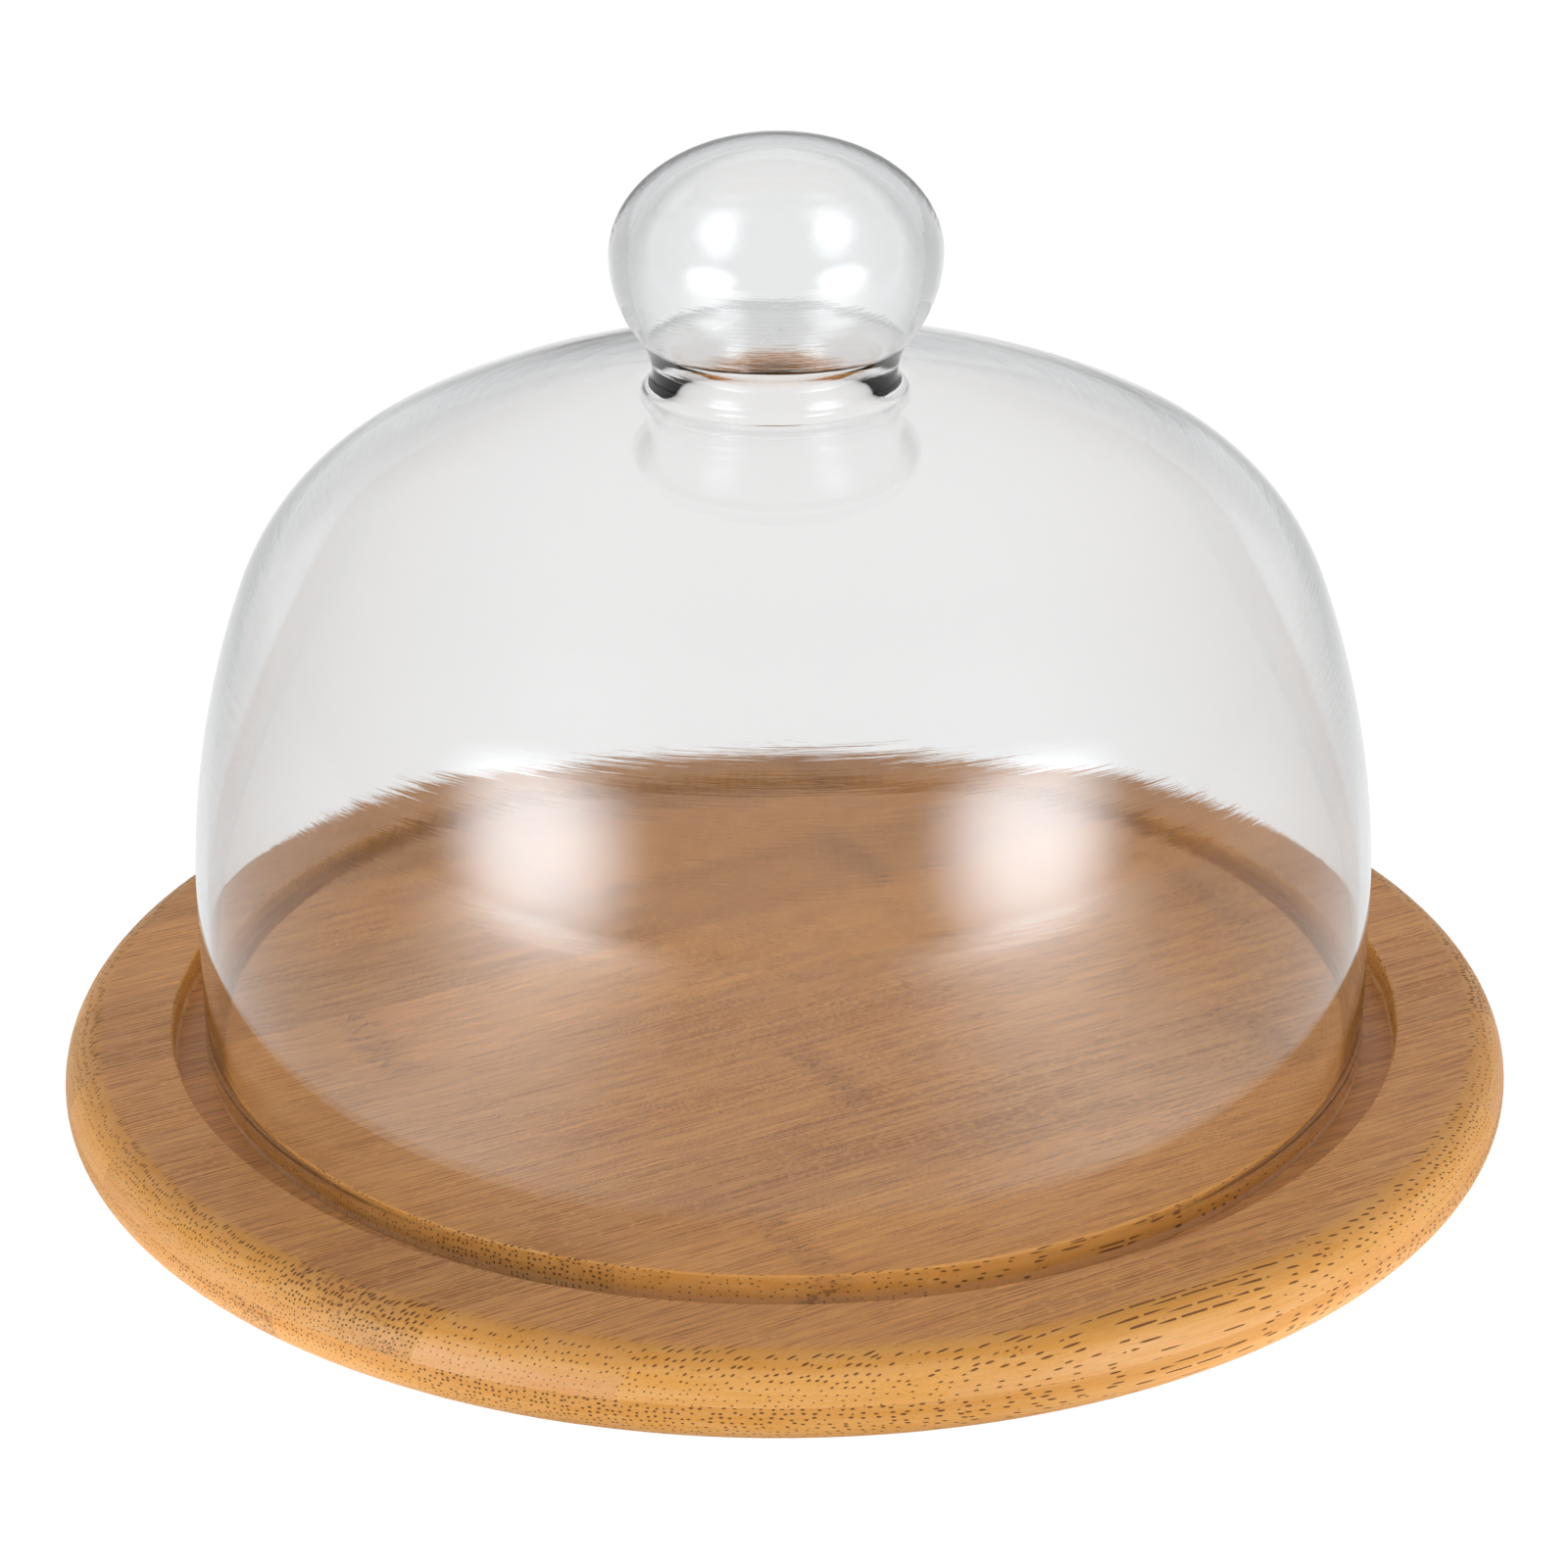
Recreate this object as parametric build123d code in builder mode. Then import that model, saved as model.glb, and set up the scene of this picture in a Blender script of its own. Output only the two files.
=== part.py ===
"""Cheese dome: a blown glass cover with a hollow knob, standing in the groove of a round bamboo board.

Millimetres, +Z up.  The origin is the centre of the board's underside.
The front of the object faces -Y.
"""
import os
from math import cos, radians, sin

from build123d import *

os.makedirs("parts", exist_ok=True)

# Board, pressed from two plies of bamboo staves that lie side by side.
board_radius = 125.0
board_height = 15.0
glue_line_height = 8.3
edge_widest_height = 6.7
edge_top_run = 7.0
edge_bottom_run = 7.6
stave_width = 24.8
grain_angle = 30.0
staves_per_ply = 11
first_stave = -6
top_ply_joint = 6.1
bottom_ply_joint = 5.1

# Ring groove that holds the rim of the cover.
groove_outer_radius = 106.3
groove_inner_radius = 97.5
groove_depth = 4.8
groove_corner_radius = 0.7
groove_lip_chamfer = 0.3

# Outside of the glass: rim, upright wall, then three arcs that turn it by 90 degrees into the crown.
rim_clearance = 0.3
dome_radius = 100.6
wall_height = 22.3
bow_radius = 154.5
bow_sweep = 20.6
shoulder_radius = 42.3
shoulder_sweep = 42.6
crown_height = 110.9

# Neck and knob, blown in one with the dome.
neck_radius = 20.2
neck_flare = 2.2
knob_waist_radius = 10.4
knob_under_radius = 20.8
knob_sweep = 39.2
knob_cap_height = 19.0
cap_fullness = 0.56  # 0.55 gives a true ellipse, more gives a squarer cap

# Inside of the glass.  The wall is thin at the rim and gathers towards the crown.
rim_thickness = 2.3
crown_thickness = 3.8
inner_bow_radius = 152.0
inner_shoulder_radius = 40.5
neck_inner_radius = 16.6
neck_inner_flare = 4.6
inner_waist_radius = 9.6
inner_under_radius = 22.4
inner_knob_sweep = 40.5
knob_cap_thickness = 2.2

crown_sweep = 90.0 - bow_sweep - shoulder_sweep
crown_start = radians(crown_sweep)
shoulder_start = radians(crown_sweep + shoulder_sweep)
outer_crown_z = board_height + crown_height
inner_crown_z = outer_crown_z - crown_thickness
bead_radius = rim_thickness / 2
bead_centre_z = board_height - groove_depth + rim_clearance + bead_radius


def crown_radius_between(wall, neck, bow, shoulder):
    """Radius of the crown arc that joins an upright wall to the start of the neck."""
    reach = shoulder * (sin(shoulder_start) - sin(crown_start)) + bow * (1 - sin(shoulder_start))
    return (wall - neck - reach) / sin(crown_start)


def drop_below_crown(bow, shoulder, crown):
    """Height from the top of the upright wall to the crown."""
    drop = crown * (1 - cos(crown_start))
    drop += shoulder * (cos(crown_start) - cos(shoulder_start))
    return drop + bow * cos(shoulder_start)


def make_stave(lower, upper, joint, step):
    """One stave: the strip of a ply between two glue joints that run along the grain.

    The half section of the whole board is turned about Z, then cut down to the stave.
    """
    with BuildPart() as stave:
        with BuildSketch(Plane.XZ):
            with BuildLine():
                Line((0, 0), (board_radius - edge_bottom_run, 0))
                EllipticalCenterArc(
                    (board_radius - edge_bottom_run, edge_widest_height),
                    edge_bottom_run,
                    edge_widest_height,
                    start_angle=270,
                    arc_size=90,
                )
                upper_edge = EllipticalCenterArc(
                    (board_radius - edge_top_run, edge_widest_height),
                    edge_top_run,
                    board_height - edge_widest_height,
                    start_angle=0,
                    arc_size=90,
                )
                Polyline(upper_edge @ 1, (0, board_height), (0, 0))
            make_face()
            with Locations((groove_inner_radius, board_height)):
                Rectangle(
                    groove_outer_radius - groove_inner_radius,
                    2 * groove_depth,
                    align=(Align.MIN, Align.CENTER),
                    mode=Mode.SUBTRACT,
                )
            floor_z = board_height - groove_depth
            floor_corners = vertices().filter_by_position(Axis.Y, floor_z - 0.01, floor_z + 0.01)
            fillet(floor_corners, groove_corner_radius)
            lips = vertices().filter_by_position(Axis.Y, board_height - 0.01, board_height + 0.01)
            lips = lips.filter_by_position(
                Axis.X, groove_inner_radius - 0.1, groove_outer_radius + 0.1
            )
            chamfer(lips, groove_lip_chamfer)
            with Locations((0, lower)):
                Rectangle(
                    board_radius + 1,
                    upper - lower,
                    align=(Align.MIN, Align.MIN),
                    mode=Mode.INTERSECT,
                )
        revolve(axis=Axis.Z)
        with Locations(Rotation(0, 0, grain_angle) * Pos(0, joint + step * stave_width, lower)):
            Box(
                2.2 * board_radius,
                stave_width,
                upper - lower,
                align=(Align.CENTER, Align.MIN, Align.MIN),
                mode=Mode.INTERSECT,
            )
    return stave.part


# Bamboo board, stave by stave, each ply counted from the front of the board to the back.
for count in range(staves_per_ply):
    step = first_stave + count
    top_stave = make_stave(glue_line_height, board_height, top_ply_joint, step)
    top_stave.label = f"board_top_stave_{count + 1:02d}"
    export_step(top_stave, f"parts/{top_stave.label}.step")
    bottom_stave = make_stave(0, glue_line_height, bottom_ply_joint, step)
    bottom_stave.label = f"board_bottom_stave_{count + 1:02d}"
    export_step(bottom_stave, f"parts/{bottom_stave.label}.step")

# Glass cover: one shell of revolution, open at the rim and hollow right up into the knob.
neck_start = neck_radius + neck_flare
inner_neck_start = neck_inner_radius + neck_inner_flare
inner_wall = dome_radius - rim_thickness
crown_radius = crown_radius_between(dome_radius, neck_start, bow_radius, shoulder_radius)
inner_crown_radius = crown_radius_between(
    inner_wall, inner_neck_start, inner_bow_radius, inner_shoulder_radius
)
wall_top_z = outer_crown_z - drop_below_crown(bow_radius, shoulder_radius, crown_radius)
inner_wall_top_z = inner_crown_z - drop_below_crown(
    inner_bow_radius, inner_shoulder_radius, inner_crown_radius
)

with BuildPart() as glass_dome:
    with BuildSketch(Plane.XZ):
        with BuildLine():
            wall = Line((dome_radius, bead_centre_z), (dome_radius, wall_top_z))
            bow = JernArc(wall @ 1, wall % 1, bow_radius, bow_sweep)
            shoulder = JernArc(bow @ 1, bow % 1, shoulder_radius, shoulder_sweep)
            crown = JernArc(shoulder @ 1, shoulder % 1, crown_radius, crown_sweep)
            flare = JernArc(crown @ 1, crown % 1, neck_flare, -90)
            waist = JernArc(flare @ 1, flare % 1, knob_waist_radius, -knob_sweep)
            under = JernArc(waist @ 1, waist % 1, knob_under_radius, knob_sweep)
            knob_edge = under @ 1
            cap_z = knob_edge.Y + knob_cap_height
            cap = Bezier(
                knob_edge,
                (knob_edge.X, knob_edge.Y + cap_fullness * knob_cap_height),
                (knob_edge.X * cap_fullness, cap_z),
                (0, cap_z),
            )

            inside = Line((inner_wall, bead_centre_z), (inner_wall, inner_wall_top_z))
            inner_bow = JernArc(inside @ 1, inside % 1, inner_bow_radius, bow_sweep)
            inner_shoulder = JernArc(
                inner_bow @ 1, inner_bow % 1, inner_shoulder_radius, shoulder_sweep
            )
            inner_crown = JernArc(
                inner_shoulder @ 1, inner_shoulder % 1, inner_crown_radius, crown_sweep
            )
            inner_flare = JernArc(inner_crown @ 1, inner_crown % 1, neck_inner_flare, -90)
            inner_waist = JernArc(
                inner_flare @ 1, inner_flare % 1, inner_waist_radius, -inner_knob_sweep
            )
            inner_under = JernArc(
                inner_waist @ 1, inner_waist % 1, inner_under_radius, inner_knob_sweep
            )
            inner_edge = inner_under @ 1
            inner_cap_z = cap_z - knob_cap_thickness
            inner_cap_height = inner_cap_z - inner_edge.Y
            inner_cap = Bezier(
                inner_edge,
                (inner_edge.X, inner_edge.Y + cap_fullness * inner_cap_height),
                (inner_edge.X * cap_fullness, inner_cap_z),
                (0, inner_cap_z),
            )
            Line(cap @ 1, inner_cap @ 1)
            bead_bottom = (inner_wall + bead_radius, bead_centre_z - bead_radius)
            ThreePointArc(inside @ 0, bead_bottom, wall @ 0)
        make_face()
    revolve(axis=Axis.Z)
glass_dome.part.label = "glass_dome"
export_step(glass_dome.part, "parts/glass_dome.step")
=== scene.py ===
"""Looks for the cheese dome: blown glass over a bamboo board, on a pale floor in soft studio light."""

from collections import namedtuple
from math import cos, exp, pi, radians, sin

import bpy
from mathutils import Matrix, Vector, noise


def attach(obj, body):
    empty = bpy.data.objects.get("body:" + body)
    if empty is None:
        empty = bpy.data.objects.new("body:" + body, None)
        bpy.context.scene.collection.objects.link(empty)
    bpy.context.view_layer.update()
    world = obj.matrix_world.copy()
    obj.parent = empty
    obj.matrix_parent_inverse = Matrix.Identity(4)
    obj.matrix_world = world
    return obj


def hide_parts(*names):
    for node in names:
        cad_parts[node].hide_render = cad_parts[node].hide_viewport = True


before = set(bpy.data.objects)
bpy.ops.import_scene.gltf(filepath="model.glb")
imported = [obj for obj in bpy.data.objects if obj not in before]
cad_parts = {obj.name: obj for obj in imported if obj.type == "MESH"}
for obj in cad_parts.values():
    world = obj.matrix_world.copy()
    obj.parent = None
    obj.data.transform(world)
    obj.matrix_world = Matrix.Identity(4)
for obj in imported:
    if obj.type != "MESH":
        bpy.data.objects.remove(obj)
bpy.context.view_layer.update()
MM = 0.001

scene = bpy.context.scene
scene.view_settings.view_transform = "Standard"
scene.view_settings.look = "None"


# ---------------------------------------------------------------- node helpers
class Nodes:
    """A short way to write a material's node tree."""

    def __init__(self, name):
        self.material = bpy.data.materials.new(name)
        self.material.use_nodes = True
        self.tree = self.material.node_tree
        self.tree.nodes.clear()
        self.output = self.add("ShaderNodeOutputMaterial")

    def add(self, kind, **settings):
        node = self.tree.nodes.new(kind)
        for key, value in settings.items():
            setattr(node, key, value)
        return node

    def link(self, source, target):
        self.tree.links.new(source, target)

    def put(self, socket, value):
        if isinstance(value, bpy.types.NodeSocket):
            self.link(value, socket)
        else:
            socket.default_value = value

    def math(self, operation, a, b=0.0, c=0.0):
        node = self.add("ShaderNodeMath", operation=operation)
        for socket, value in zip(node.inputs, (a, b, c)):
            self.put(socket, value)
        return node.outputs[0]

    def plus(self, a, b):
        return self.math("ADD", a, b)

    def minus(self, a, b):
        return self.math("SUBTRACT", a, b)

    def times(self, a, b):
        return self.math("MULTIPLY", a, b)

    def ramp(self, value, low, high, to_low=0.0, to_high=1.0):
        node = self.add("ShaderNodeMapRange", interpolation_type="SMOOTHSTEP")
        for socket, v in zip(node.inputs, (value, low, high, to_low, to_high)):
            self.put(socket, v)
        return node.outputs[0]

    def fall(self, value, low, high):
        """1 below low, 0 above high."""
        return self.ramp(value, low, high, 1.0, 0.0)

    def mix(self, factor, a, b):
        node = self.add("ShaderNodeMix", data_type="RGBA")
        self.put(node.inputs[0], factor)
        self.put(node.inputs[6], a)
        self.put(node.inputs[7], b)
        return node.outputs[2]

    def combine(self, x, y, z):
        node = self.add("ShaderNodeCombineXYZ")
        for socket, value in zip(node.inputs, (x, y, z)):
            self.put(socket, value)
        return node.outputs[0]

    def split(self, vector):
        node = self.add("ShaderNodeSeparateXYZ")
        self.link(vector, node.inputs[0])
        return node.outputs

    def noise(self, vector, scale, detail=2.0, roughness=0.5):
        node = self.add("ShaderNodeTexNoise")
        self.link(vector, node.inputs["Vector"])
        node.inputs["Scale"].default_value = scale
        node.inputs["Detail"].default_value = detail
        node.inputs["Roughness"].default_value = roughness
        return node.outputs["Fac"]

    def voronoi(self, vector, scale, randomness, dimensions):
        node = self.add("ShaderNodeTexVoronoi", voronoi_dimensions=dimensions)
        self.link(vector, node.inputs["Vector"])
        node.inputs["Scale"].default_value = scale
        node.inputs["Randomness"].default_value = randomness
        return node.outputs["Distance"], node.outputs["Color"]

    def bump(self, height):
        """A normal from a height in metres."""
        node = self.add("ShaderNodeBump")
        node.inputs["Strength"].default_value = 1.0
        node.inputs["Distance"].default_value = 1.0
        self.link(height, node.inputs["Height"])
        return node.outputs[0]

    def mix_shaders(self, factor, a, b):
        node = self.add("ShaderNodeMixShader")
        self.put(node.inputs[0], factor)
        self.link(a.outputs[0], node.inputs[1])
        self.link(b.outputs[0], node.inputs[2])
        return node

    def finish(self, shader):
        self.link(shader.outputs[0], self.output.inputs["Surface"])
        return self.material


def linear(colour, tone=1.0):
    """Scene-linear colour of an sRGB colour given as 0 to 255, made lighter or darker by tone."""
    return [((v / 255 + 0.055) / 1.055) ** 2.4 * tone for v in colour] + [1.0]


# ---------------------------------------------------------------- bamboo
# Heights and distances along the grain are in millimetres, as in the CAD model.
BOARD_TOP = 15.0
GLUE = 8.3
GRAIN = radians(30.0)
WANDER = 2.4
BUNDLE_JITTER = 0.55
NODE_CORE = 1.0
NODE_REACH = 5.5
NODE_WOBBLE = 6.0
BOTTOM_SEED = 20

PIT_DEPTH = 0.16 * MM
PIT_LOSS_ON_FACE = 0.85
FIBRE_HEIGHT = 0.04 * MM
HAIR_DEPTH = 0.03 * MM
SMOOTH_ROUGHNESS = 0.36
FIBRE_ROUGHNESS = 0.50
PIT_EXTRA_ROUGHNESS = 0.25
BAMBOO_SPECULAR = 0.45

FACE_LIGHT = (241, 171, 94)
FACE_TAN = (217, 143, 80)
EDGE_GOLD = (228, 158, 70)
EDGE_PALE = (234, 171, 96)

# A colour, and how much of it is mixed in where its pattern is strongest.
Tint = namedtuple("Tint", "colour share")
FACE_PALE = Tint((232, 166, 98), 0.45)
FACE_HAIR = Tint((164, 94, 50), 0.62)
FACE_FIBRE = Tint((158, 96, 50), 0.25)
FACE_BUNDLE = Tint((128, 66, 36), 0.34)
EDGE_PINK = Tint((232, 166, 112), 0.5)
EDGE_AMBER = Tint((204, 128, 48), 0.35)
EDGE_FIBRE = Tint((190, 122, 60), 0.25)
EDGE_PIT = Tint((110, 58, 22), 0.88)
NODE_BAND = Tint((150, 96, 62), 0.16)
NODE_DASH = Tint((112, 62, 38), 0.6)

# Staves are counted from the front of the board. tone makes one lighter or darker, density is how close its
# bundles of fibre are, pit is their size, and blush is how pink the side from inside the culm is.
Stave = namedtuple("Stave", "tone density pit blush")
# The first three staves, at the front, are lighter partly by their own tone and partly as painted light: the
# front of the board is lit more than the back.
TOP_STAVES = [
    Stave(1.09, 0.30, 0.18, 0.5),
    Stave(1.12, 0.75, 0.16, 0.4),
    Stave(1.08, 0.45, 0.12, 1.0),
    Stave(0.97, 1.00, 0.25, 0.5),
    Stave(1.02, 0.90, 0.18, 0.6),
    Stave(0.99, 0.80, 0.17, 0.7),
    Stave(1.08, 0.50, 0.14, 0.5),
    Stave(0.93, 0.75, 0.18, 0.4),
    Stave(1.04, 0.60, 0.16, 0.6),
    Stave(0.90, 0.80, 0.18, 0.5),
    Stave(1.00, 0.55, 0.16, 0.6),
]
# Every stave of the lower ply is paler partly by its own tone and partly as painted light: the floor below
# lights the board's lower edge.
BOTTOM_STAVES = [
    Stave(1.12, 0.40, 0.16, 0.3),
    Stave(1.13, 0.65, 0.18, 0.2),
    Stave(1.10, 0.95, 0.21, 0.4),
    Stave(1.12, 0.50, 0.14, 0.5),
    Stave(1.06, 1.00, 0.21, 0.3),
    Stave(1.10, 0.60, 0.15, 0.5),
    Stave(1.10, 0.60, 0.15, 0.4),
    Stave(1.06, 0.70, 0.17, 0.5),
    Stave(1.10, 0.50, 0.15, 0.4),
    Stave(1.08, 0.60, 0.16, 0.5),
    Stave(1.10, 0.50, 0.15, 0.4),
]

# Where nodes of the culm cross a stave: its number, then places along the grain.
TOP_CULM_NODES = {
    3: [-43.0],
    4: [-108.0, 62.0],
    5: [-9.0],
    6: [88.0],
    7: [-70.0],
    8: [40.0],
    9: [-15.0],
    10: [60.0],
}
BOTTOM_CULM_NODES = {2: [-30.0], 4: [20.0], 5: [-115.0], 7: [70.0], 9: [-90.0]}


def grain_axes(n):
    """Three coordinates in millimetres: along the grain, across it and up."""
    turn = n.add("ShaderNodeMapping")
    turn.inputs["Rotation"].default_value = (0, 0, -GRAIN)
    n.link(n.add("ShaderNodeTexCoord").outputs["Object"], turn.inputs["Vector"])
    return [n.times(part, 1000.0) for part in n.split(turn.outputs[0])]


def place_in_cut(n, axes, seed):
    """A place in a cut across the stave. The bundles wander a little on their way along it."""
    along, across, up = axes
    slow = n.combine(n.times(along, 0.02), n.times(across, 0.05), seed * 7.3)
    drift_up = n.times(n.minus(n.noise(slow, scale=0.9, detail=1.0), 0.5), WANDER)
    slow_side = n.combine(n.times(along, 0.02), n.times(across, 0.08), seed * 3.1 + 40)
    drift_side = n.times(n.minus(n.noise(slow_side, scale=0.9, detail=1.0), 0.5), WANDER)
    return n.combine(n.plus(n.plus(across, drift_side), seed * 13.7), n.plus(up, drift_up), 0.0)


def bundle_dots(n, stave, cut, along, outer):
    """1 inside a bundle of fibre, 0 between the bundles. They are larger and closer on the outer side."""
    distance, cell = n.voronoi(cut, 1.0 + 0.30 * stave.density, BUNDLE_JITTER, "2D")
    pick, girth, phase = n.split(cell)
    share = n.math("MULTIPLY_ADD", outer, 0.35, 0.62 + 0.3 * stave.density)
    present = n.math("LESS_THAN", pick, share)
    # Every bundle is broken here and there along the stave.
    swing = n.math("SINE", n.math("MULTIPLY_ADD", phase, 60.0, n.times(along, 1.1)))
    present = n.times(present, n.ramp(swing, -0.95, -0.75))
    size = n.math("MULTIPLY_ADD", girth, 0.05, stave.pit)
    size = n.times(size, n.ramp(outer, 0.0, 0.9, 0.66, 1.12))
    return n.times(n.fall(distance, n.times(size, 0.6), size), present)


def fibre_noise(n, axes, seed):
    """Noise drawn out along the grain: fine fibre, hair lines, streaks and clouds."""
    along, across, up = axes
    fine_place = n.combine(n.times(along, 0.035), n.plus(across, seed * 5.0), up)
    fine = n.noise(fine_place, scale=4.2, detail=2.0, roughness=0.6)
    hair_place = n.combine(n.times(along, 0.022), n.plus(across, seed * 2.0), up)
    hair = n.noise(hair_place, scale=3.0, detail=3.0, roughness=0.70)
    streak_place = n.combine(n.times(along, 0.012), n.plus(across, seed * 9.0), n.times(up, 0.4))
    streak = n.noise(streak_place, scale=1.3, detail=5.0, roughness=0.72)
    cloud_place = n.combine(n.times(along, 0.03), n.times(across, 0.11), n.plus(up, seed * 17.0))
    cloud = n.noise(cloud_place, scale=1.0, detail=2.0)
    return fine, hair, streak, cloud


def flatness(n):
    """1 on the flat faces, 0 on the rounded edge and the groove's walls."""
    turn = n.add(
        "ShaderNodeVectorTransform",
        vector_type="NORMAL",
        convert_from="WORLD",
        convert_to="OBJECT",
    )
    n.link(n.add("ShaderNodeNewGeometry").outputs["Normal"], turn.inputs[0])
    upright = n.math("ABSOLUTE", n.split(turn.outputs[0])[2])
    return n.ramp(upright, 0.975, 0.999)


def tinted(n, colour, pattern, tint, tone=1.0):
    """The colour with the tint mixed in by the pattern."""
    return n.mix(n.times(pattern, tint.share), colour, linear(tint.colour, tone))


def face_colour(n, tone, fibres, dot):
    """Colour of the flat faces: golden tan with brown hair lines."""
    fine, hair, streak, cloud = fibres
    colour = n.mix(n.ramp(streak, 0.30, 0.70), linear(FACE_LIGHT, tone), linear(FACE_TAN, tone))
    colour = tinted(n, colour, n.ramp(cloud, 0.35, 0.75), FACE_PALE, tone)
    colour = tinted(n, colour, n.ramp(hair, 0.49, 0.61), FACE_HAIR, tone)
    colour = tinted(n, colour, n.ramp(fine, 0.40, 0.75), FACE_FIBRE, tone)
    return tinted(n, colour, dot, FACE_BUNDLE, tone)


def edge_colour(n, stave, fibres, dot, outer):
    """Colour of the rounded edge and the groove: golden, with dark pits at the bundles."""
    fine, _, _, cloud = fibres
    gold, pale = linear(EDGE_GOLD, stave.tone), linear(EDGE_PALE, stave.tone)
    colour = n.mix(n.ramp(cloud, 0.3, 0.7), gold, pale)
    blush = n.times(n.minus(1.0, outer), stave.blush)
    colour = tinted(n, colour, n.ramp(blush, 0.2, 0.9), EDGE_PINK)
    colour = tinted(n, colour, n.ramp(outer, 0.55, 1.0), EDGE_AMBER)
    colour = tinted(n, colour, n.ramp(fine, 0.4, 0.8), EDGE_FIBRE)
    return tinted(n, colour, dot, EDGE_PIT)


def culm_nodes(n, colour, cut, axes, spots):
    """The colour with nodes of the culm in it: narrow bands of short dark dashes across the stave."""
    along, across, up = axes
    band = 0.0
    for spot in spots:
        unevenness = n.noise(cut, scale=0.25, detail=1.0)
        middle = n.math("MULTIPLY_ADD", unevenness, NODE_WOBBLE, spot - NODE_WOBBLE / 2)
        away = n.math("ABSOLUTE", n.minus(along, middle))
        band = n.math("MAXIMUM", band, n.fall(away, NODE_CORE, NODE_REACH))
    dash_place = n.combine(n.times(along, 0.35), across, up)
    dash = n.ramp(n.noise(dash_place, scale=1.3, detail=2.0, roughness=0.7), 0.52, 0.68)
    colour = tinted(n, colour, band, NODE_BAND)
    return tinted(n, colour, n.times(band, dash), NODE_DASH)


def bamboo(name, seed, stave, low, high, spots):
    """Bamboo as a solid texture: bundles of fibre run along the stave, so they show as lines on its faces
    and as dots where it is cut across. The outside of the culm is at the height high, the inside at low."""
    n = Nodes(name)
    axes = grain_axes(n)
    along, _, up = axes
    cut = place_in_cut(n, axes, seed)
    outer = n.ramp(up, low, high)
    dot = bundle_dots(n, stave, cut, along, outer)
    fibres = fibre_noise(n, axes, seed)
    fine, hair, _, _ = fibres
    flat = flatness(n)

    on_edge = edge_colour(n, stave, fibres, dot, outer)
    on_face = face_colour(n, stave.tone, fibres, dot)
    colour = n.mix(flat, on_edge, on_face)
    if spots:
        colour = culm_nodes(n, colour, cut, axes, spots)

    pits = n.times(dot, n.minus(1.0, n.times(flat, PIT_LOSS_ON_FACE)))
    relief = n.plus(n.times(pits, -PIT_DEPTH), n.times(fine, FIBRE_HEIGHT))
    relief = n.plus(relief, n.times(hair, -HAIR_DEPTH))

    shader = n.add("ShaderNodeBsdfPrincipled")
    shader.inputs["Specular IOR Level"].default_value = BAMBOO_SPECULAR
    rough = n.ramp(fine, 0.2, 0.8, SMOOTH_ROUGHNESS, FIBRE_ROUGHNESS)
    rough = n.plus(rough, n.times(dot, PIT_EXTRA_ROUGHNESS))
    n.link(colour, shader.inputs["Base Color"])
    n.link(rough, shader.inputs["Roughness"])
    n.link(n.bump(relief), shader.inputs["Normal"])
    return n.finish(shader)


def finish_ply(ply, staves, first_seed, low, high, culm_spots):
    """Give every stave of one ply its own bamboo."""
    for number, stave in enumerate(staves, 1):
        spots = culm_spots.get(number, [])
        material = bamboo(f"bamboo_{ply}_{number:02d}", first_seed + number, stave, low, high, spots)
        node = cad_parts[f"board_{ply}_stave_{number:02d}"]
        node.data.materials.clear()
        node.data.materials.append(material)


finish_ply("top", TOP_STAVES, 0, GLUE, BOARD_TOP, TOP_CULM_NODES)
finish_ply("bottom", BOTTOM_STAVES, BOTTOM_SEED, 0.0, GLUE, BOTTOM_CULM_NODES)

# ---------------------------------------------------------------- glass
# Sizes in millimetres, sweeps in degrees. The rim's bead stands just clear of the floor of the groove.
GROOVE_DEPTH = 4.8
RIM_GAP = 0.3
BEAD = 1.15
BEAD_Z = BOARD_TOP - GROOVE_DEPTH + RIM_GAP + BEAD
RIM_SWELL_Z = 13.2
RIM_SWELL_REACH = 1.7

OUTER_WALL = 100.6
INNER_WALL = 98.3
BOW_SWEEP = 20.6
SHOULDER_SWEEP = 42.6
CROWN_SWEEP = 90 - BOW_SWEEP - SHOULDER_SWEEP
CROWN_Z = 125.9
CROWN_THICKNESS = 3.8
CAP_TOP = 166.8
CAP_THICKNESS = 2.2
CAP_FULLNESS = 0.56

WALL_COUNT = 34
CAP_COUNT = 40
BEAD_COUNT = 14
TURNS = 320

WAVE = 0.10
THICKNESS_WAVE = 0.035
LEAN_START = 112.0
LEAN_END = 126.0
LEAN_AT_END = -0.95
LEAN_SLOPE = 0.0135


def point_spacing(x):
    """Points lie closer together towards the knob."""
    if x > 60:
        return 1.3
    return 0.9 if x > 24 else 0.45


def arc_chain(start, heading, steps):
    """Points along a chain of tangent arcs. Each step is (radius, sweep in degrees), positive to the left."""
    x, z = start
    points = [start]
    for radius, sweep in steps:
        side = 1 if sweep > 0 else -1
        angle = radians(abs(sweep))
        centre_x = x - side * radius * sin(heading)
        centre_z = z + side * radius * cos(heading)
        count = max(4, round(radius * angle / point_spacing(x)))
        for i in range(1, count + 1):
            h = heading + side * angle * i / count
            points.append((centre_x + side * radius * sin(h), centre_z - side * radius * cos(h)))
        heading += side * angle
        x, z = points[-1]
    return points


def quarter_cap(edge, top):
    """A cubic curve from the widest point of the knob to its top on the axis."""
    a, z0 = edge
    corners = [(a, z0), (a, z0 + CAP_FULLNESS * (top - z0)), (CAP_FULLNESS * a, top), (0.0, top)]
    points = []
    for i in range(1, CAP_COUNT + 1):
        t = i / CAP_COUNT
        w = [(1 - t) ** 3, 3 * t * (1 - t) ** 2, 3 * t * t * (1 - t), t ** 3]
        points.append(tuple(sum(wi * p[k] for wi, p in zip(w, corners)) for k in (0, 1)))
    return points


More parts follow.
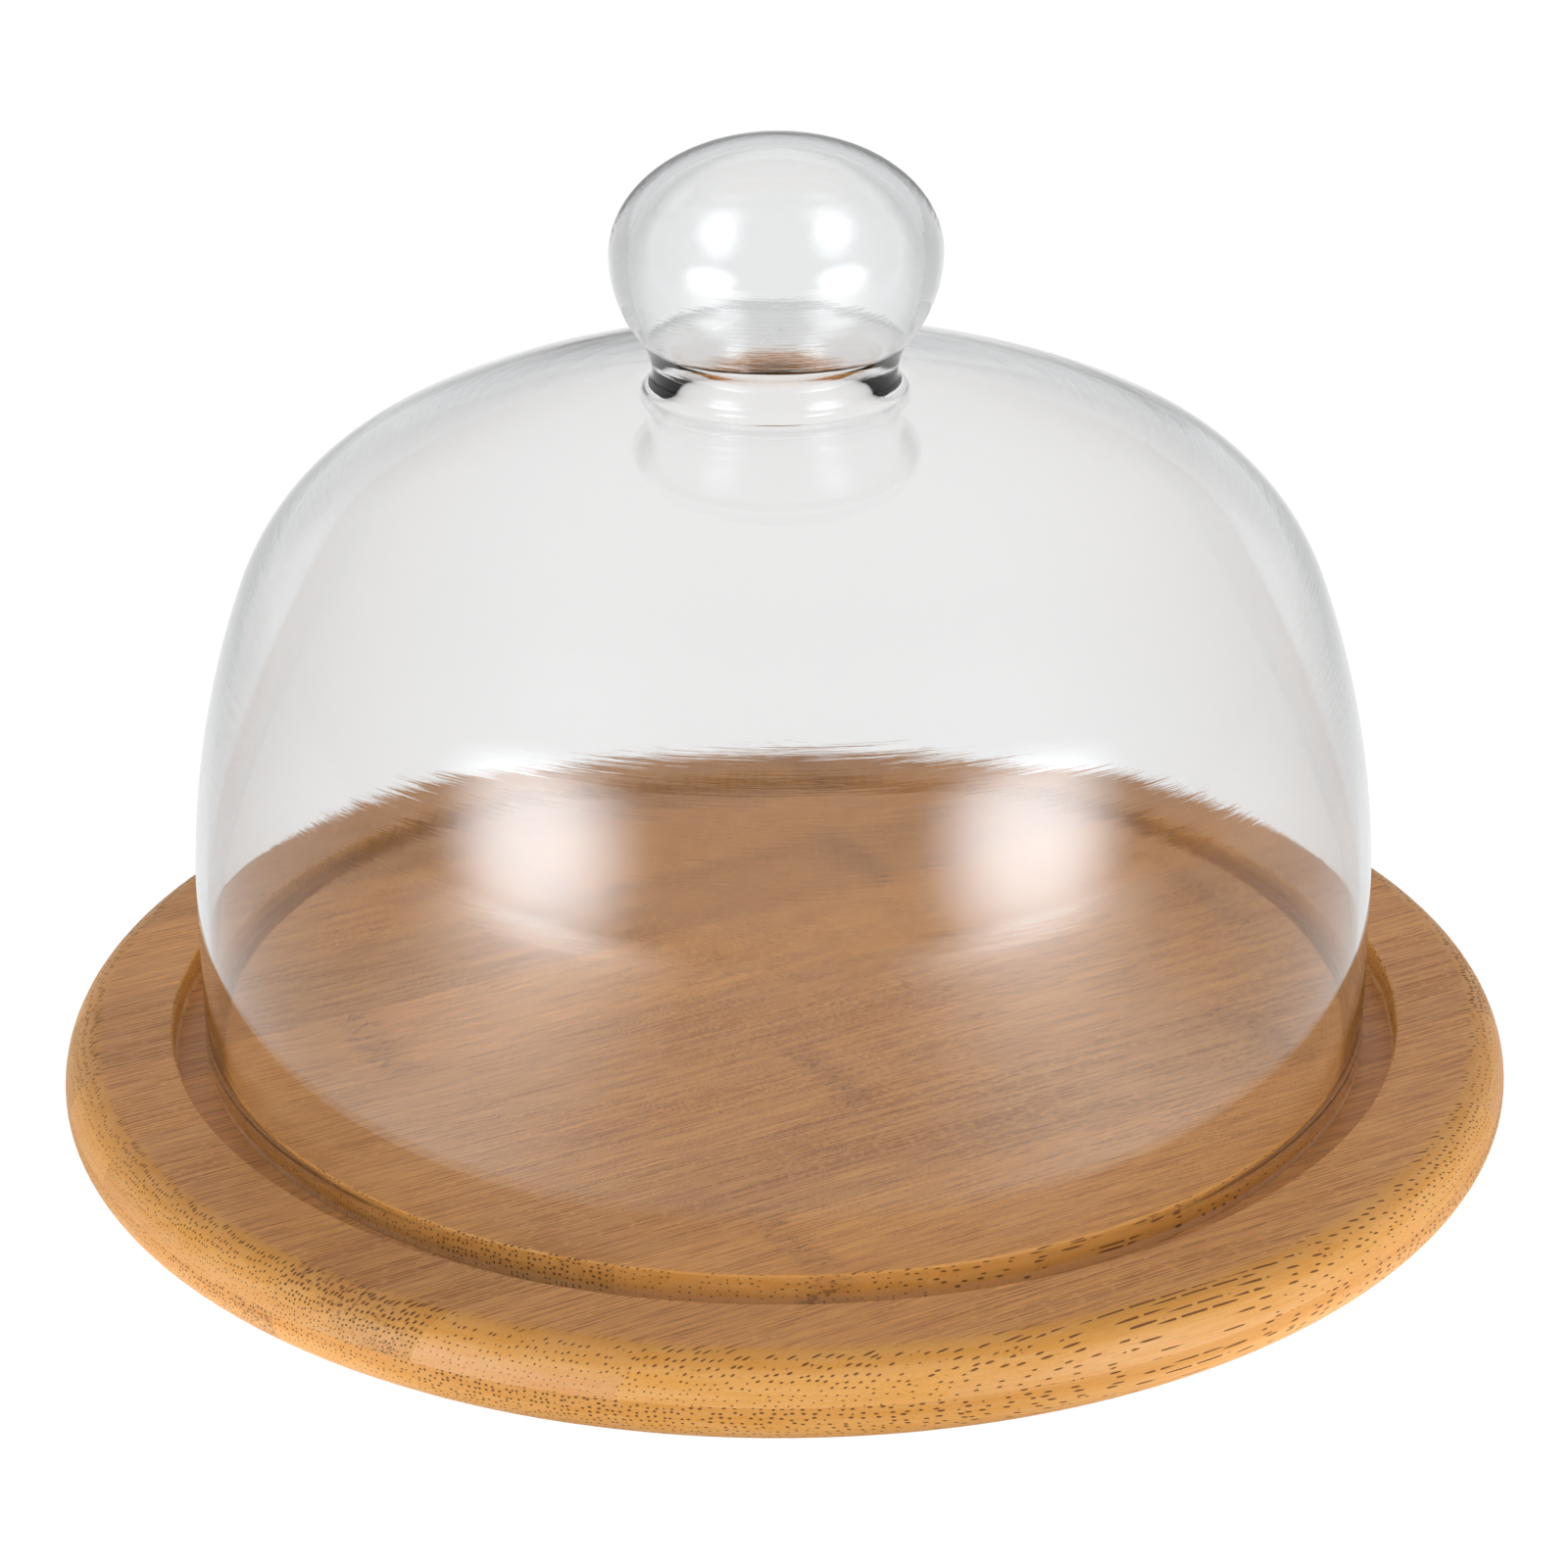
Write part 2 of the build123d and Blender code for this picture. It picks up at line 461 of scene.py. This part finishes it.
def glass_side(wall, swell, bow, shoulder, neck, crown_z, flare, waist, under, knob_sweep, cap_top):
    """One face of the glass, outer or inner, from the rim's bead to the top of the knob. The crown's radius
    and the height of the wall follow from the rest: the arcs have to meet the neck at crown_z."""
    a = radians(CROWN_SWEEP)
    b = radians(CROWN_SWEEP + SHOULDER_SWEEP)
    crown = (wall - neck - shoulder * (sin(b) - sin(a)) - bow * (1 - sin(b))) / sin(a)
    wall_top = crown_z - crown * (1 - cos(a)) - shoulder * (cos(a) - cos(b)) - bow * cos(b)
    points = []
    for i in range(WALL_COUNT):
        z = BEAD_Z + (wall_top - BEAD_Z) * (i / WALL_COUNT) ** 1.6
        points.append((wall + swell * exp(-(((z - RIM_SWELL_Z) / RIM_SWELL_REACH) ** 2)), z))
    arcs = [
        (bow, BOW_SWEEP),
        (shoulder, SHOULDER_SWEEP),
        (crown, CROWN_SWEEP),
        (flare, -90),
        (waist, -knob_sweep),
        (under, knob_sweep),
    ]
    points += arc_chain((wall, wall_top), pi / 2, arcs)
    return points + quarter_cap(points[-1], cap_top)


outer_side = glass_side(
    wall=OUTER_WALL,
    swell=0.22,
    bow=154.5,
    shoulder=42.3,
    neck=22.4,
    crown_z=CROWN_Z,
    flare=2.2,
    waist=10.4,
    under=20.8,
    knob_sweep=39.2,
    cap_top=CAP_TOP,
)
inner_side = glass_side(
    wall=INNER_WALL,
    swell=-0.40,
    bow=152.0,
    shoulder=40.5,
    neck=21.2,
    crown_z=CROWN_Z - CROWN_THICKNESS,
    flare=4.6,
    waist=9.6,
    under=22.4,
    knob_sweep=40.5,
    cap_top=CAP_TOP - CAP_THICKNESS,
)


def rim_bead():
    """The rounded rim, from the outer face down and round to the inner one."""
    middle = (OUTER_WALL + INNER_WALL) / 2
    angles = [pi * i / BEAD_COUNT for i in range(1, BEAD_COUNT)]
    return [(middle + BEAD * cos(t), BEAD_Z - BEAD * sin(t)) for t in angles]


def blown(r, z, angle, inside):
    """Where a point of the blown glass ends up: the shell waves, its thickness varies, the knob leans."""
    x, y = cos(angle), sin(angle)
    wave = noise.noise(Vector((x * 1.6, y * 1.6, z * 0.018)))
    r += WAVE * wave * min(1.0, r / 60)
    if inside:
        gather = noise.noise(Vector((x * 3.1 + 9, y * 3.1, z * 0.045)))
        r += THICKNESS_WAVE * gather * min(1.0, r / 40)
    t = max(0.0, min(1.0, (z - LEAN_START) / (LEAN_END - LEAN_START)))
    lean = (LEAN_AT_END + LEAN_SLOPE * (z - LEAN_END)) * t * t * (3 - 2 * t)
    return r * x + lean, r * y, z


def build_glass():
    """The shell as one closed surface: down the inner face, round the rim and up the outer face."""
    rings = list(reversed(inner_side[:-1])) + list(reversed(rim_bead())) + outer_side[:-1]
    inner_count = len(inner_side) - 1
    points = [blown(0.0, inner_side[-1][1], 0.0, True)]
    for k, (r, z) in enumerate(rings):
        for i in range(TURNS):
            points.append(blown(r, z, 2 * pi * i / TURNS, k < inner_count))
    points.append(blown(0.0, outer_side[-1][1], 0.0, False))
    last = len(points) - 1

    faces = []
    for i in range(TURNS):
        j = (i + 1) % TURNS
        faces.append((0, 1 + j, 1 + i))
        for k in range(len(rings) - 1):
            a = 1 + k * TURNS
            b = a + TURNS
            faces.append((a + i, a + j, b + j, b + i))
        a = last - TURNS
        faces.append((a + i, a + j, last))

    mesh = bpy.data.meshes.new("glass_dome_blown")
    mesh.from_pydata([tuple(v * MM for v in p) for p in points], [], faces)
    mesh.validate()
    mesh.polygons.foreach_set("use_smooth", [True] * len(mesh.polygons))
    piece = bpy.data.objects.new("glass_dome_blown", mesh)
    scene.collection.objects.link(piece)
    return piece


GLASS_TINT = (0.97, 0.975, 0.975, 1)
GLASS_IOR = 1.5
LAMP_SHARE_THROUGH = (0.89, 0.89, 0.89, 1)
SEEDS_PER_METRE = 95.0
SEED_CHANCE = 0.05
SEED_HEIGHT = 0.08 * MM
SOFT_WAVE_HEIGHT = 0.02 * MM
RING_HEIGHT_BELOW = 0.003 * MM
RING_HEIGHT_ABOVE = 0.017 * MM


def clear_glass():
    """Clear glass with faint rings left by the turning of it, soft waves and a few tiny seeds."""
    n = Nodes("clear_blown_glass")
    place = n.add("ShaderNodeTexCoord").outputs["Object"]
    x, y, z = n.split(place)
    # The rings are long round the axis and narrow up the wall. They are deeper higher up.
    ring_place = n.combine(n.times(x, 17.0), n.times(y, 17.0), n.times(z, 1000.0))
    ring = n.noise(ring_place, scale=1.0, detail=4.0, roughness=0.62)
    ring_height = n.ramp(z, 60 * MM, 84 * MM, RING_HEIGHT_BELOW, RING_HEIGHT_ABOVE)
    wave_place = n.combine(n.times(x, 22.0), n.times(y, 22.0), n.times(z, 60.0))
    wave = n.noise(wave_place, scale=1.0, detail=1.0)
    seed_distance, seed_cell = n.voronoi(place, SEEDS_PER_METRE, 1.0, "3D")
    chosen = n.math("LESS_THAN", n.split(seed_cell)[0], SEED_CHANCE)
    seed = n.times(n.fall(seed_distance, 0.02, 0.05), chosen)
    height = n.plus(n.times(ring, ring_height), n.times(wave, SOFT_WAVE_HEIGHT))
    height = n.plus(height, n.times(seed, SEED_HEIGHT))

    shader = n.add("ShaderNodeBsdfPrincipled")
    shader.inputs["Base Color"].default_value = GLASS_TINT
    shader.inputs["Roughness"].default_value = 0.0
    shader.inputs["IOR"].default_value = GLASS_IOR
    shader.inputs["Transmission Weight"].default_value = 1.0
    n.link(n.bump(height), shader.inputs["Normal"])
    # Lamps shine through the glass onto the board.
    through = n.add("ShaderNodeBsdfTransparent")
    through.inputs["Color"].default_value = LAMP_SHARE_THROUGH
    path = n.add("ShaderNodeLightPath")
    return n.finish(n.mix_shaders(path.outputs["Is Shadow Ray"], shader, through))


dome = build_glass()
dome.data.materials.append(clear_glass())
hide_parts("glass_dome")
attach(dome, "dome")

# ---------------------------------------------------------------- floor
FLOOR_REACH = 12.0
FLOOR_Z = -0.2 * MM
LAMP_BEARING = radians(44.0)
PAPER_GREY = (0.26, 0.26, 0.26, 1)
PAPER_GLOSS = 0.10
PAPER_ROUGHNESS = 0.5
WHITE_STRENGTH = 1.05
POOL_REACH = 0.55
POOL_STRENGTH = 3.3
POOL_GROWTH = 0.8
POOL_FADE_START = 1.3
POOL_FADE_END = 2.2


def white_sweep():
    """Paper that the camera sees as plain white. To the glass and the board it is grey paper that glows,
    most behind the object and in two pools near the lamps, which carry their reflections down the glass."""
    n = Nodes("white_sweep")
    x, y, _ = n.split(n.add("ShaderNodeTexCoord").outputs["Object"])
    side = n.math("ABSOLUTE", x)
    reach = n.math("SQRT", n.plus(n.math("POWER", x, 2.0), n.math("POWER", y, 2.0)))
    glow = n.times(n.ramp(y, -0.22, 0.12, 0.22, 1.0), n.ramp(reach, 0.25, 1.6, 0.78, 0.72))
    glow = n.times(glow, n.ramp(side, 0.05, 0.32, 1.0, 0.55))
    bearing = n.math("ARCTAN2", side, n.times(y, -1.0))
    beside_lamp = n.math("ABSOLUTE", n.minus(bearing, LAMP_BEARING))
    growing = n.times(n.math("POWER", reach, POOL_GROWTH), POOL_STRENGTH)
    pool = n.times(n.fall(beside_lamp, 0.0, POOL_REACH), growing)
    glow = n.plus(glow, n.times(pool, n.fall(reach, POOL_FADE_START, POOL_FADE_END)))

    matte = n.add("ShaderNodeBsdfDiffuse")
    matte.inputs["Color"].default_value = PAPER_GREY
    gloss = n.add("ShaderNodeBsdfGlossy")
    gloss.inputs["Roughness"].default_value = PAPER_ROUGHNESS
    gloss.inputs["Color"].default_value = (1, 1, 1, 1)
    light = n.add("ShaderNodeEmission")
    n.link(glow, light.inputs["Strength"])
    paper = n.add("ShaderNodeAddShader")
    n.link(n.mix_shaders(PAPER_GLOSS, matte, gloss).outputs[0], paper.inputs[0])
    n.link(light.outputs[0], paper.inputs[1])
    white = n.add("ShaderNodeEmission")
    white.inputs["Strength"].default_value = WHITE_STRENGTH
    path = n.add("ShaderNodeLightPath")
    return n.finish(n.mix_shaders(path.outputs["Is Camera Ray"], paper, white))


floor_mesh = bpy.data.meshes.new("floor")
floor_corners = [(-1, -1), (1, -1), (1, 1), (-1, 1)]
floor_mesh.from_pydata(
    [(x * FLOOR_REACH, y * FLOOR_REACH, FLOOR_Z) for x, y in floor_corners],
    [],
    [(0, 1, 2, 3)],
)
floor_mesh.materials.append(white_sweep())
floor = bpy.data.objects.new("floor", floor_mesh)
scene.collection.objects.link(floor)

# ---------------------------------------------------------------- light
ROOM_COLOUR = (0.98, 0.99, 1.0, 1)
ROOM_IN_FRONT = 0.36
ROOM_BEHIND = 0.72
LAMP_AIM = Vector((0, 0, 0.06))
LAMP_DISTANCE = 1.25
LAMP_WIDTH = 1.20
LAMP_HEIGHT = 0.95
LAMP_RADIANCE = 8.8
LAMP_COLOUR = (0.86, 0.935, 1.0)


def fade(tree, value, easing, limits):
    """Map a value smoothly. limits are the range it comes from and the range it goes to."""
    node = tree.nodes.new("ShaderNodeMapRange")
    node.interpolation_type = easing
    tree.links.new(value, node.inputs[0])
    for socket, limit in zip(list(node.inputs)[1:5], limits):
        socket.default_value = limit
    return node.outputs[0]


def studio_world():
    """A pale room that is brighter behind the object than behind the camera."""
    world = bpy.data.worlds.new("studio")
    world.use_nodes = True
    tree = world.node_tree
    sky = tree.nodes["Background"]
    sky.inputs["Color"].default_value = ROOM_COLOUR
    gaze = tree.nodes.new("ShaderNodeTexCoord")
    parts = tree.nodes.new("ShaderNodeSeparateXYZ")
    tree.links.new(gaze.outputs["Generated"], parts.inputs[0])
    limits = (0.0, 0.9, ROOM_IN_FRONT, ROOM_BEHIND)
    strength = fade(tree, parts.outputs[1], "SMOOTHSTEP", limits)
    tree.links.new(strength, sky.inputs["Strength"])
    return world


def softbox(name, towards):
    """A soft rectangular lamp in the direction towards, turned to the object and fading out to its edges."""
    lamp = bpy.data.lights.new(name, "AREA")
    lamp.shape = "RECTANGLE"
    lamp.size = LAMP_WIDTH
    lamp.size_y = LAMP_HEIGHT
    lamp.energy = LAMP_RADIANCE * pi * LAMP_WIDTH * LAMP_HEIGHT
    lamp.color = LAMP_COLOUR
    lamp.use_nodes = True
    tree = lamp.node_tree
    place = tree.nodes.new("ShaderNodeNewGeometry")
    centred = tree.nodes.new("ShaderNodeVectorMath")
    centred.operation = "SUBTRACT"
    centred.inputs[1].default_value = (0.5, 0.5, 0.0)
    tree.links.new(place.outputs["Parametric"], centred.inputs[0])
    from_middle = tree.nodes.new("ShaderNodeVectorMath")
    from_middle.operation = "LENGTH"
    tree.links.new(centred.outputs[0], from_middle.inputs[0])
    strength = fade(tree, from_middle.outputs["Value"], "SMOOTHERSTEP", (0.0, 0.5, 1.0, 0.0))
    tree.links.new(strength, tree.nodes["Emission"].inputs["Strength"])
    box = bpy.data.objects.new(name, lamp)
    direction = Vector(towards).normalized()
    box.location = LAMP_AIM + direction * LAMP_DISTANCE
    box.rotation_euler = direction.to_track_quat("Z", "Y").to_euler()
    scene.collection.objects.link(box)


scene.world = studio_world()
softbox("softbox_left", (-0.73, -0.69, 0.142))
softbox("softbox_right", (0.73, -0.69, 0.142))

# ---------------------------------------------------------------- camera, as fitted to the photo
CAMERA_PLACE = Vector((0.00015, -0.61826, 0.32412))
CAMERA_PITCH = radians(23.60)
CAMERA_ROLL = radians(0.306)
CAMERA_LENS = 90.35
CAMERA_SENSOR = 36.0
CAMERA_SIGHT = 60.0


def place_camera():
    """The photograph's camera: it looks towards +Y and down, with a little roll."""
    lens = bpy.data.cameras.new("camera")
    lens.sensor_width = CAMERA_SENSOR
    lens.lens = CAMERA_LENS
    lens.clip_end = CAMERA_SIGHT
    camera = bpy.data.objects.new("camera", lens)
    scene.collection.objects.link(camera)
    forward = Vector((0, cos(CAMERA_PITCH), -sin(CAMERA_PITCH)))
    level_up = Vector((0, sin(CAMERA_PITCH), cos(CAMERA_PITCH)))
    level_right = Vector((1, 0, 0))
    up_axis = cos(CAMERA_ROLL) * level_up + sin(CAMERA_ROLL) * level_right
    right_axis = cos(CAMERA_ROLL) * level_right - sin(CAMERA_ROLL) * level_up
    turn = Matrix((right_axis, up_axis, -forward)).transposed()
    camera.matrix_world = Matrix.Translation(CAMERA_PLACE) @ turn.to_4x4()
    return camera


scene.camera = place_camera()
